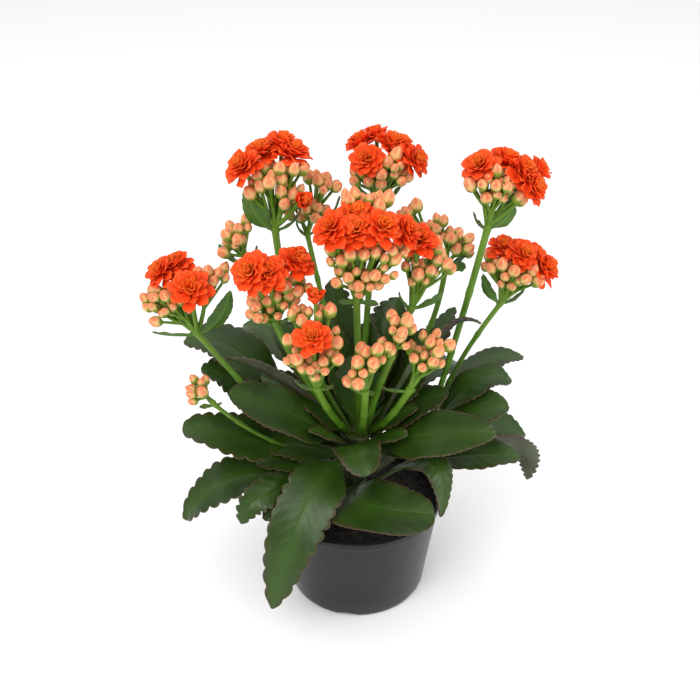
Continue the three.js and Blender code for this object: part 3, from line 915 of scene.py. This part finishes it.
# ---- flower heads ----
# Each head, measured from its fork: places of the double blossoms, of blossoms that are still opening, of
# the clusters of buds (centre, radius, buds) and of the bracts (tip, width, roll in degrees). Millimetres.
HEADS = {
    "top_left": {
        "blossoms": [(-12, -6, 30), (-5, 3, 33), (4, 7, 35), (9, 2, 33)],
        "opening": [(12, -10, 15)],
        "clusters": [((-1, -5, 26), 6, 8), ((8, -3, 28), 4, 5), ((8, -4, 17), 5, 8), ((-7, -5, 21), 3, 4)],
        "bracts": [((-12, -4, 20), 11, 70), ((-9, 2, 5), 3, 20), ((12, 0, 8), 3, 0)],
    },
    "back_left": {
        "clusters": [((9, 0, 24), 6, 9), ((3, -3, 12), 5, 7), ((-3, -2, 11), 3, 4)],
        "bracts": [((16, 2, 17), 3, 0), ((-5, -2, 5), 4, 0)],
    },
    "top_centre": {
        "blossoms": [(-6, -10, 22), (16, -3, 19), (-8, 7, 24), (6, 4, 24), (-1, 11, 26), (10, 6, 22)],
        "clusters": [((5, -9, 19), 4, 6), ((10, -7, 14), 4, 6), ((-1, -6, 12), 4, 6), ((-9, -4, 13), 3, 4)],
        "bracts": [((-12, -3, 10), 5, 40), ((11, 0, 7), 4, -30)],
    },
    "top_right": {
        "blossoms": [(-6, -4, 29), (6, 3, 28), (13, -3, 26), (21, 6, 23), (17, -7, 20)],
        "clusters": [((-5, -6, 25), 5, 8), ((4, -7, 24), 5, 8), ((1, -7, 17), 4, 6), ((11, -3, 17), 3, 5)],
        "bracts": [((11, -3, 12), 8, -60), ((-7, 0, 6), 4, 0)],
    },
    "right": {
        "blossoms": [(-1, 0, 27), (7, -5, 26), (13, 1, 22), (18, -3, 18)],
        "clusters": [((-3, -5, 21), 6, 9), ((7, -6, 19), 5, 8), ((2, -4, 12), 4, 6), ((13, -5, 15), 3, 3)],
        "bracts": [((-10, 0, 14), 6, 50), ((11, 0, 6), 3, 0)],
    },
    "centre": {
        "blossoms": [(-10, -13, 38), (10, -12, 38), (0, -4, 39), (20, -4, 33), (0, -12, 37)],
        "clusters": [
            ((-2, 6, 44), 5, 8), ((8, 5, 43), 4, 5), ((-8, -8, 24), 4, 5), ((1, -9, 26), 4, 4),
            ((11, -8, 25), 5, 6), ((19, -6, 26), 3, 4), ((-5, -7, 14), 4, 5), ((5, -7, 11), 5, 6),
            ((12, -8, 16), 4, 5), ((0, -5, 6), 2, 2),
        ],
        "bracts": [((-8, -3, -1), 4, 0), ((10, -2, -3), 5, 0)],
    },
    "centre_right": {
        "blossoms": [(1, -8, 35)],
        "clusters": [
            ((9, -3, 30), 4, 4), ((13, -3, 23), 4, 5), ((5, -4, 19), 4, 6), ((-1, -3, 23), 3, 4),
            ((3, -3, 13), 3, 4),
        ],
        "bracts": [((-6, 0, 6), 4, 0), ((14, 0, 6), 7, -50)],
    },
    "back_right": {
        "clusters": [((-19, 0, 25), 6, 9), ((-7, 0, 18), 4, 6), ((2, 0, 13), 5, 8), ((8, 0, 8), 3, 5)],
        "bracts": [((11, 0, 6), 4, 0), ((9, 4, -8), 9, -50), ((-13, 0, 8), 3, 0)],
    },
    "left": {
        "blossoms": [(-13, -2, 31), (-7, 2, 32), (1, -13, 28)],
        "clusters": [
            ((-19, -2, 17), 5, 7), ((-14, -4, 11), 4, 6), ((-9, -6, 16), 4, 5), ((10, 0, 29), 6, 9),
            ((-13, -7, 24), 4, 4),
        ],
        "bracts": [((17, 0, 21), 9, -60), ((-21, -2, 0), 6, 30)],
    },
    "upper_left": {
        "clusters": [((-5, 0, 15), 5, 8), ((-6, -2, 9), 4, 5)],
        "bracts": [((-13, -3, 10), 7, 40), ((4, 2, 7), 3, 0)],
    },
    "centre_left": {
        "blossoms": [(-8, -13, 29), (-1, -12, 28), (10, -3, 29)],
        "clusters": [((-8, -6, 10), 6, 8), ((0, -6, 7), 3, 4), ((5, -3, 13), 5, 7), ((10, -3, 18), 4, 5)],
        "bracts": [((-13, -3, 3), 6, 30), ((11, 0, 6), 3, 0)],
    },
    "front_left": {
        "blossoms": [(-1, -11, 31)],
        "opening": [(0, 0, 42)],
        "clusters": [
            ((-7, 2, 36), 4, 5), ((4, 2, 37), 3, 4), ((-9, -6, 18), 3, 5), ((-4, -8, 15), 3, 3),
            ((3, -8, 15), 3, 3), ((7, -6, 18), 3, 4), ((-10, -3, 25), 2, 3), ((8, -2, 26), 2, 3),
            ((0, -5, 7), 1, 1),
        ],
        "bracts": [((-10, -2, 4), 4, 0), ((7, 0, 0), 3, 0)],
    },
    "front_centre": {
        "clusters": [((-5, -4, 8), 3, 3), ((-2, -3, 13), 4, 5), ((2, -2, 17), 4, 6), ((7, 0, 21), 3, 5)],
        "bracts": [((-9, -2, 8), 5, 40), ((4, 0, -2), 3, 0)],
    },
    "front_middle": {
        "clusters": [((3, 0, 14), 5, 8), ((4, -2, 7), 3, 3)],
        "bracts": [((-4, 0, 4), 3, 0)],
    },
    "front_right": {
        "clusters": [((5, -2, 18), 5, 7), ((11, 0, 24), 5, 7), ((11, -2, 16), 3, 4)],
        "bracts": [((-13, -2, 1), 4, 20), ((3, 3, 9), 6, -40)],
    },
    "low_left": {
        "clusters": [((-8, 0, 6), 4, 8)],
        "bracts": [((-7, -2, -2), 3, 0), ((-5, 0, 10), 3, 0)],
    },
}
KNOT = 2.5  # millimetres from the top of a stem to its head's first fork

# Radii of a head's stalks in millimetres, where they start and where they end.
BRANCH = (1.28, 0.98)
BUD_STALK = (0.86, 0.62)
BLOSSOM_STALK = (1.25, 0.95)
STALK_POINTS = 7

# The room round a blossom, an opening blossom and a bud, as shares of a blossom's and of a bud's radius.
BLOSSOM_ROOM = 0.50
OPENING_ROOM = 1.5
BUD_ROOM = 0.96

OPEN_KINDS = 3  # open rosettes in the family, before the one that is still opening
OPENING_SIZE = 0.84
BUD_KINDS = [(1.0, 1.0), (0.92, 1.08), (1.14, 0.85)]  # how plump each is, and how wide its top


def settle(points, radii, still, rounds=40):
    """Pushes crowded points apart until each has room. The first points, as many as still says, stay put."""
    points, radii = np.array(points, float), np.array(radii, float)
    for _ in range(rounds):
        gaps = points[:, None] - points[None]
        apart = np.linalg.norm(gaps, axis=2) + np.eye(len(points))
        short = np.clip(radii[:, None] + radii[None] - apart, 0, None)
        np.fill_diagonal(short, 0)
        push = (gaps / apart[..., None] * short[..., None] * 0.4).sum(axis=1)
        push[:still] = 0
        points += push
    return points


def stalk(start, end, lift, girths, rise):
    """A curved stalk from a fork to an end, as a route for tubes, and the way it points there."""
    rib = Rib(start, start + (end - start) * np.array([0.58, 0.58, lift]), end)
    girth = np.linspace(*girths, STALK_POINTS) * MM
    return (rib.at(np.linspace(0, 1, STALK_POINTS)), girth, rise), rib.heading(1.0)


def scattered_buds(clusters, hub, rng):
    """Buds in domed spirals, before they are settled: the place, the size and the cluster of each."""
    buds, sizes, owners = [], [], []
    for owner, (centre, radius, count) in enumerate(clusters):
        centre = np.array(centre) * MM
        axis = unit(centre)
        first = unit(np.cross(axis, [0.3, 1.0, 0.2]))
        second = np.cross(axis, first)
        for i in range(count):
            out = radius * MM * math.sqrt((i + 0.5) / count) * 1.1
            angle = i * GOLDEN_ANGLE + rng.uniform(-0.3, 0.3)
            dome = -0.035 * out * out / MM
            ring = first * math.cos(angle) + second * math.sin(angle)
            buds.append(hub + centre + ring * out + axis * (dome + rng.uniform(-1.5, 1.5) * MM))
            sizes.append(rng.uniform(0.62, 1.06))
            owners.append(owner)
    return buds, sizes, owners


def head_plan(name, hub, rng, bud_radius, blossom_radius):
    """Where everything on a head is: stalk routes, buds, and blossoms as (place, facing, size, kin)."""
    layout = HEADS[name]
    opened = [hub + np.array(p) * MM for p in layout.get("blossoms", [])]
    opening = [hub + np.array(p) * MM for p in layout.get("opening", [])]
    fixed = opened + opening
    radii = [BLOSSOM_ROOM * blossom_radius] * len(opened) + [OPENING_ROOM * bud_radius] * len(opening)
    buds, sizes, owners = scattered_buds(layout["clusters"], hub, rng)
    radii += [BUD_ROOM * bud_radius * size for size in sizes]
    placed = settle(fixed + buds, radii, len(fixed))[len(fixed):]

    routes, bud_rows, blossom_rows, forks = [], [], [], []
    for owner in range(len(layout["clusters"])):
        own = [place for place, who in zip(placed, owners) if who == owner]
        forks.append(hub + 0.42 * (np.mean(own, axis=0) - hub) - up_by(0.6))
        routes.append(stalk(hub - up_by(1.5), forks[owner], 0.40, BRANCH, 0.85)[0])
    for place, size, owner in zip(placed, sizes, owners):
        route, facing = stalk(forks[owner], place, rng.uniform(0.42, 0.62), BUD_STALK, 1.0)
        routes.append(route)
        facing = unit(facing + np.array([rng.uniform(-0.2, 0.2), rng.uniform(-0.2, 0.2), 0.15]))
        kin = rng.randrange(len(BUD_KINDS))
        bud_rows.append((place - facing * bud_radius * size * 0.9, facing, bud_radius * size, kin))
    for i, place in enumerate(fixed):
        routes.append(stalk(hub - up_by(1.0), place, 0.45, BLOSSOM_STALK, 0.95)[0])
        facing = unit((place - hub) * np.array([1, 1, 0.6]) + np.array([0, -6, 1.5]) * MM)
        is_open = i < len(opened)
        size = blossom_radius * (rng.uniform(0.96, 1.10) if is_open else OPENING_SIZE)
        kin = rng.randrange(OPEN_KINDS) if is_open else OPEN_KINDS
        blossom_rows.append((place - facing * 0.12 * size, facing, size, kin))
    return routes, bud_rows, blossom_rows


# The height and the radius of each ring of a bud, as shares, and how deep the seams cut round a ring.
BUD_RINGS = [(0.02, 0.36), (0.12, 0.66), (0.26, 0.90), (0.44, 1.0), (0.60, 0.97), (0.76, 0.82), (0.90, 0.50)]
SEAMS = np.array([1.0, 0.35, 0.0, 0.35] * 4)


def bud_shape(plump, closing):
    """A closed bud of unit radius: a swollen cup, then four petals that close over it, with seams between."""
    tall = 2.55 * plump
    rings = []
    for height, radius in BUD_RINGS:
        turn = 2 * math.pi * np.arange(len(SEAMS)) / len(SEAMS) + 0.8 * height
        out = radius * (1 - 0.30 * SEAMS * max(0.0, height - 0.35)) * (closing if height > 0.85 else 1.0)
        rings.append(circle(out, turn, height * tall))
    marks = {"seam": SEAMS, "rise": np.array([[height] for height, _ in BUD_RINGS])}
    return skin((0, 0, -0.02), np.array(rings), (0, 0, 1.02 * tall), marks)


# How far out each ring of a petal is and how wide it is there, and where a ring's points are: across, above.
PETAL_RINGS = [
    (0.05, 0.09), (0.22, 0.16), (0.42, 0.25), (0.60, 0.31), (0.76, 0.31), (0.89, 0.22), (0.97, 0.09)
]
PETAL_ACROSS = np.array([1.0, 0.5, 0.0, -0.5, -1.0, -0.5, 0.0, 0.5])
PETAL_ABOVE = np.array([0.0, 1, 1, 1, 0.0, -1, -1, -1])


def petal_shape():
    """A petal of unit length along +X: narrow foot, broad blade, pointed and slightly ruffled tip."""
    rings = []
    for x, half in PETAL_RINGS:
        arch = 0.20 * x * x - 0.55 * max(0.0, x - 0.62) ** 2
        ruffle = 0.035 * np.sin(11 * x + 2.2 * PETAL_ACROSS) * np.abs(PETAL_ACROSS)
        lift = arch + 0.30 * half * PETAL_ACROSS**2 + ruffle + 0.016 * PETAL_ABOVE
        rings.append(np.stack([np.full(len(lift), x), half * PETAL_ACROSS, lift], axis=1))
    marks = {"reach": np.array([[x] for x, _ in PETAL_RINGS]), "aside": PETAL_ACROSS}
    return skin((0, 0, 0), np.array(rings), (1.02, 0, 0.10), marks)


def family_of(name, members):
    """A collection that a node tree picks its shapes from."""
    family = bpy.data.collections.new(name)
    bpy.context.scene.collection.children.link(family)
    for member in members:
        bpy.context.scene.collection.objects.unlink(member)
        family.objects.link(member)
    return family


def disband(family):
    for member in list(family.objects):
        bpy.data.objects.remove(member)
    bpy.data.collections.remove(family)


def bud_family():
    return family_of("bud_kinds", [bud_shape(*kind).make(f"bud_kind_{i}") for i, kind in enumerate(BUD_KINDS)])


def blossom_family(flower):
    """Three open rosettes and one that is still opening, of unit radius."""
    petal = petal_shape().make("one_petal")
    kinds = [
        {"Petals": flower.petals, "Outer Tilt": -0.15, "Inner Tilt": 1.20, "Inner Size": 0.42, "Seed": 3},
        {"Petals": flower.petals - 4, "Outer Tilt": -0.05, "Inner Tilt": 1.10, "Inner Size": 0.46, "Seed": 8},
        {"Petals": flower.petals + 3, "Outer Tilt": -0.22, "Inner Tilt": 1.25, "Inner Size": 0.40, "Seed": 21},
        {"Petals": 13, "Outer Tilt": 0.85, "Inner Tilt": 1.40, "Inner Size": 0.80, "Seed": 5},
    ]
    usual = {"Petal": petal, "Height": 0.34, "Outer Size": 1.0, "Material": get_material("petal_orange")}
    members = []
    for i, kind in enumerate(kinds):
        seed = seeds_mesh("rosette_seed", [(0, 0, 0)], [], {})
        members.append(grown(seed, double_rosette, {**usual, **kind}, f"rosette_{i}"))
    bpy.data.objects.remove(petal)
    return family_of("rosettes", members)


def clustered(name, rows, family, material, rng):
    """One piece with a member of the family on each row's place."""
    marks = {
        "facing": ("FLOAT_VECTOR", [row[1] for row in rows]),
        "size": ("FLOAT", [row[2] for row in rows]),
        "kin": ("INT", [row[3] for row in rows]),
        "turn": ("FLOAT", [rng.uniform(0, 2 * math.pi) for _ in rows]),
        "tint": ("FLOAT", [rng.random() for _ in rows]),
    }
    source = seeds_mesh(name + "_places", [row[0] for row in rows], [], marks)
    return grown(source, facing_cluster, {"Family": family, "Material": get_material(material)}, name)


def bract_shapes(name, hub, rng):
    """The narrow leaflets that stand under a head's forks."""
    shapes = []
    root = hub - up_by(2.2)
    for tip, width, roll in HEADS[name]["bracts"]:
        reach = np.array(tip, float) * MM
        bend = root + reach * np.array([0.75, 0.75, 0.25]) - up_by(0.5)
        rib = Rib(root, bend, hub + reach, math.radians(roll) + rng.uniform(-0.2, 0.2), 1.1 * width * MM)
        depth = 0.45 * MM if width > 5 else 0.1 * MM
        tint = rng.uniform(0.0, 0.8)
        shapes.append(blade_shape(rib, rng, 0.9 * MM, 3.6 * MM, depth, (0.7, 0.4), 36, 0.25 * MM, tint))
    return shapes


class KALANCHOE_OT_heads(bpy.types.Operator):
    """Builds the branched heads: stalks, bracts, buds and double blossoms"""

    bl_idname = "kalanchoe.heads"
    bl_label = "Flower heads"

    def execute(self, context):
        flower = context.scene.kalanchoe_flower
        buds, rosettes = bud_family(), blossom_family(flower)
        for name in FLOWER_STEMS:
            rng = random.Random("head " + name)
            hub = stem_rib(name).tip + up_by(KNOT)
            radii = (flower.bud_radius, flower.blossom_radius)
            routes, bud_rows, blossom_rows = head_plan(name, hub, rng, *radii)
            keep(tubes("stalks_" + name, routes, 8), "stem", "head_" + name)
            keep(clustered("buds_" + name, bud_rows, buds, "bud_skin", rng), "bud")
            if blossom_rows:
                keep(clustered("blossoms_" + name, blossom_rows, rosettes, "petal_orange", rng), "petal")
            bracts = Shape.joined(bract_shapes(name, hub, rng))
            keep(bracts.make("bracts_" + name, get_material("bract_green")), "leaf")
        disband(buds)
        disband(rosettes)
        return {"FINISHED"}


# The stems that are thinner than the usual, as shares of its radius.
SLIM = {
    "left": 0.85,
    "right": 0.78,
    "low_left": 0.62,
    "upper_left": 0.8,
    "back_left": 0.75,
    "back_right": 0.85,
    "front_middle": 0.9,
}


class KALANCHOE_OT_stems(bpy.types.Operator):
    """Builds the flower stems along their CAD curves, with swollen joints"""

    bl_idname = "kalanchoe.stems"
    bl_label = "Flower stems"

    def execute(self, context):
        radius = context.scene.kalanchoe_flower.stem_radius
        for name in FLOWER_STEMS:
            rng = random.Random("stem " + name)
            rib = stem_rib(name)
            along = np.linspace(-3 * MM / rib.length, 1 + 2.2 * MM / rib.length, 60)
            girth = radius * SLIM.get(name, 1.0) * (0.9 + 0.16 * np.clip(along, 0, 1))
            for joint in (rng.uniform(0.28, 0.4), rng.uniform(0.62, 0.75), 1.0):
                girth += 0.32 * MM * np.exp(-(((along - joint) * rib.length / (1.6 * MM)) ** 2))
            keep(tubes("green_stem_" + name, [(rib.at(along), girth, along)], 16), "stem", "stem_" + name)
        return {"FINISHED"}


# ---- the crown, the pot and the peat ----
class KALANCHOE_OT_crown(bpy.types.Operator):
    """Rounds the crown and its shoots into one grown piece"""

    bl_idname = "kalanchoe.crown"
    bl_label = "Crown"

    def execute(self, context):
        mesh = NODES["crown"].data.copy()
        solid = bmesh.new()
        solid.from_mesh(mesh)
        bmesh.ops.remove_doubles(solid, verts=solid.verts, dist=WELD)
        solid.to_mesh(mesh)
        solid.free()
        rough = in_scene("crown_rough", mesh)
        modify(rough, "even", "REMESH", mode="VOXEL", voxel_size=0.8 * MM, use_smooth_shade=True)
        modify(rough, "rounded", "SMOOTH", factor=0.5, iterations=6)
        piece = plain_copy(rough, "rooted_crown")
        piece.data.materials.clear()
        piece.data.materials.append(get_material("crown_bark"))
        piece.data.polygons.foreach_set("use_smooth", [True] * len(piece.data.polygons))
        keep(piece, "stem", "crown")
        return {"FINISHED"}


def lathe(profile, turns, ripple=None):
    """A closed body of revolution from (radius, height) pairs that start and end on the axis."""
    turn = np.linspace(0, 2 * math.pi, turns, endpoint=False)
    rings = np.array([circle(radius, turn, height) for radius, height in profile[1:-1]])
    if ripple:
        ripple(rings)
    return skin((0, 0, profile[0][1]), rings, (0, 0, profile[-1][1]), {})


DRAINS = 6
DRAIN_TURN = math.radians(-98)
SHARP = math.radians(40)


class KALANCHOE_OT_pot(bpy.types.Operator):
    """Builds the thin nursery pot with its rim band, foot arches and drain holes"""

    bl_idname = "kalanchoe.pot"
    bl_label = "Pot"

    def execute(self, context):
        pot = context.scene.kalanchoe_pot
        shell = lathe(self.profile(pot), 144).make("pot_rough", get_material("moulded_plastic"))
        cutters = [shape for index in range(DRAINS) for shape in self.cutters(index, pot)]
        tool = Shape.joined(cutters).make("drain_cutters")
        modify(shell, "drains", "BOOLEAN", object=tool, operation="DIFFERENCE", solver="EXACT", use_self=True)
        piece = plain_copy(shell, "nursery_pot")
        bpy.data.objects.remove(tool)
        soften(piece, SHARP)
        keep(piece, "pot_plastic", "pot")
        return {"FINISHED"}

    @staticmethod
    def profile(pot):
        """Half of the pot's section, from the middle of its base round to the middle of its floor."""
        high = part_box("pot")[1]
        top, lip = high.z, high.x
        slope = (pot.rim_radius - pot.base_radius) / top

        def outer(z):
            return pot.base_radius + slope * z

        band = top - pot.lip_height
        inner_top = outer(top) - pot.wall
        # the base and its rounded edge
        profile = [(0, 0), (10 * MM, 0), (22 * MM, 0), (30 * MM, 0), (pot.base_radius - 1.6 * MM, 0)]
        profile += [(pot.base_radius - 0.6 * MM, 0.25 * MM), (pot.base_radius - 0.1 * MM, 0.9 * MM)]
        # the wall's outside
        profile += [(outer(z * MM), z * MM) for z in (1.8, 4, 9, 15, 22, 30, 38, 46)]
        # the step out to the rim's band, and the rim
        profile += [(outer(band - 0.8 * MM), band - 0.8 * MM), (outer(band), band)]
        profile += [(outer(band) + 0.28 * MM, band + 0.35 * MM), (lip - 0.32 * MM, band + 1.0 * MM)]
        profile += [(lip - 0.12 * MM, top - 1.0 * MM), (lip - 0.25 * MM, top - 0.35 * MM)]
        profile += [(lip - 0.7 * MM, top)]
        profile += [(inner_top + 0.3 * MM, top), (inner_top - 0.05 * MM, top - 0.4 * MM)]
        # the wall's inside, and the floor
        profile += [(outer(z * MM) - pot.wall, z * MM) for z in (52, 46, 36, 24, 12, 5.2)]
        floor_reach = (outer(pot.floor) - 3.2 * MM, 20 * MM, 8 * MM, 0)
        return profile + [(reach, pot.floor) for reach in floor_reach]

    @staticmethod
    def cutters(index, pot):
        """A round hole through the floor, and the arched channel that leads out from it."""
        angle = DRAIN_TURN + index * 2 * math.pi / DRAINS
        out = np.array([math.cos(angle), math.sin(angle), 0])
        aside = np.array([-out[1], out[0], 0])
        turn = np.linspace(0, 2 * math.pi, 24, endpoint=False)[:, None]
        round_hole = 3 * MM * (out * np.cos(turn) + aside * np.sin(turn))
        hole = [out * 27 * MM + round_hole + [0, 0, z] for z in (-2 * MM, 6 * MM)]
        arch = aside * 6.5 * MM * np.cos(turn) + up_by(2.4) * np.sin(turn)
        channel = [out * reach + arch for reach in (24 * MM, pot.base_radius + 6 * MM)]
        return [skin(a.mean(axis=0), np.array([a, b]), b.mean(axis=0), {}) for a, b in (hole, channel)]


def soften(piece, angle):
    """Smooth shading that keeps the edges sharper than the angle."""
    mesh = piece.data
    shape = bmesh.new()
    shape.from_mesh(mesh)
    for edge in shape.edges:
        edge.smooth = not (edge.is_manifold and edge.calc_face_angle(0) > angle)
    for side in shape.faces:
        side.smooth = True
    shape.to_mesh(mesh)
    shape.free()


class KALANCHOE_OT_soil(bpy.types.Operator):
    """Fills the pot with crumbly peat"""

    bl_idname = "kalanchoe.soil"
    bl_label = "Peat"

    def execute(self, context):
        pot = context.scene.kalanchoe_pot
        low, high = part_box("soil")
        edge, mound = high.x, 2 * MM
        bottom = edge - (pot.rim_radius - pot.base_radius) * 0.8
        top = high.z - mound
        halfway = (0.5 * (bottom + edge), 0.5 * (low.z + top))
        profile = [(0, low.z), (0.6 * bottom, low.z), (bottom, low.z), halfway]
        profile += [(r, top + mound * (1 - r / edge)) for r in np.linspace(edge, 1.2 * MM, 34)]
        profile += [(0, high.z)]
        ground = lathe(profile, 120, self.clods).make("peat_ground", get_material("shade_darkened_peat"))
        crumb = bud_shape(0.5, 1.0).make("one_crumb")
        values = {
            "Crumb": crumb,
            "Density": float(pot.crumbs),
            "Smallest": 0.25 * MM,
            "Largest": 0.95 * MM,
            "Material": get_material("shade_darkened_peat"),
        }
        piece = grown(ground, peat_crumbs, values, "crumbly_peat")
        bpy.data.objects.remove(crumb)
        keep(piece, "peat", "soil")
        return {"FINISHED"}

    @staticmethod
    def clods(rings):
        """Roughens the top of the peat and lowers it a little where it meets the pot."""
        rough = np.random.default_rng(7)
        phases = rough.uniform(0, 2 * math.pi, (14, 2))
        waves = rough.uniform(90, 900, (14, 2))
        ground = rings[3:]
        for (px, py), (wx, wy) in zip(phases, waves):
            ground[..., 2] += 0.28 * MM * np.sin(ground[..., 0] * wx + px) * np.sin(ground[..., 1] * wy + py)
        ground[0, :, 2] -= 0.6 * MM


# ---- the stage ----
# The area lights: place, the point that each faces, width, and power as a share of the main light's.
LIGHTS = {
    "key": ((-0.50, -0.80, 0.95), (0, 0, 0.12), 0.8, 1.0),
    "side": ((0.95, -0.25, 0.50), (0, 0, 0.12), 0.6, 0.4),
    "overhead": ((0.0, 0.6, 2.4), (0, 0.6, 0), 4.5, 5.5),
}
FLOOR_REACH = 5


def add_light(name, place, target, width, power):
    lamp = bpy.data.lights.new(name, "AREA")
    lamp.shape = "RECTANGLE"
    lamp.size = lamp.size_y = width
    lamp.energy = power
    made = in_scene(name, lamp)
    made.location = place
    made.rotation_euler = (Vector(target) - Vector(place)).to_track_quat("-Z", "Y").to_euler()


class KALANCHOE_OT_stage(bpy.types.Operator):
    """Sets up the floor, the soft light and the camera"""

    bl_idname = "kalanchoe.stage"
    bl_label = "Stage"

    def execute(self, context):
        scene = context.scene
        stage = scene.kalanchoe_stage
        corners = [(FLOOR_REACH * x, FLOOR_REACH * y, 0) for x, y in ((-1, -1), (1, -1), (1, 1), (-1, 1))]
        floor = Shape(corners, [[0, 1, 2, 3]], {})
        paper, _, shader = new_material("pale_floor", Roughness=0.8)
        shader.inputs["Base Color"].default_value = rgba(stage.floor)
        floor.make("floor", paper)

        world = bpy.data.worlds.new("studio")
        scene.world = world
        world.use_nodes = True
        background = world.node_tree.nodes["Background"]
        background.inputs["Color"].default_value = (1, 1, 1, 1)
        background.inputs["Strength"].default_value = stage.sky
        for name, (place, target, width, share) in LIGHTS.items():
            add_light(name, place, target, width, share * stage.light)

        lens = bpy.data.cameras.new("camera")
        lens.lens = stage.lens
        lens.clip_start, lens.clip_end = 0.01, 20
        camera = in_scene("camera", lens)
        camera.location = stage.camera_place
        camera.rotation_euler = (math.pi / 2 - stage.pitch, 0, 0)
        scene.camera = camera
        scene.view_settings.view_transform = "Standard"
        return {"FINISHED"}


# ---- the add-on ----
STEPS = [
    KALANCHOE_OT_pot,
    KALANCHOE_OT_soil,
    KALANCHOE_OT_crown,
    KALANCHOE_OT_leaves,
    KALANCHOE_OT_stems,
    KALANCHOE_OT_heads,
    KALANCHOE_OT_stage,
]
SETTINGS = {
    "kalanchoe_pot": PotSettings,
    "kalanchoe_leaf": LeafSettings,
    "kalanchoe_flower": FlowerSettings,
    "kalanchoe_stage": StageSettings,
}


class KALANCHOE_PT_parts(bpy.types.Panel):
    """Lists the steps that build the plant"""

    bl_label = "Potted kalanchoe"
    bl_space_type = "VIEW_3D"
    bl_region_type = "UI"
    bl_category = "Kalanchoe"

    def draw(self, context):
        for step in STEPS:
            self.layout.operator(step.bl_idname)
        for key, group in SETTINGS.items():
            box = self.layout.box()
            for name in group.__annotations__:
                box.prop(getattr(context.scene, key), name)


def register():
    for group in (*SETTINGS.values(), *STEPS, KALANCHOE_PT_parts):
        bpy.utils.register_class(group)
    for key, group in SETTINGS.items():
        setattr(bpy.types.Scene, key, PointerProperty(type=group))


def unregister():
    for key in SETTINGS:
        delattr(bpy.types.Scene, key)
    for group in (KALANCHOE_PT_parts, *STEPS[::-1], *SETTINGS.values()):
        bpy.utils.unregister_class(group)


def main():
    register()
    for step in STEPS:
        family, name = step.bl_idname.split(".")
        getattr(getattr(bpy.ops, family), name)()


if __name__ == "__main__":
    main()
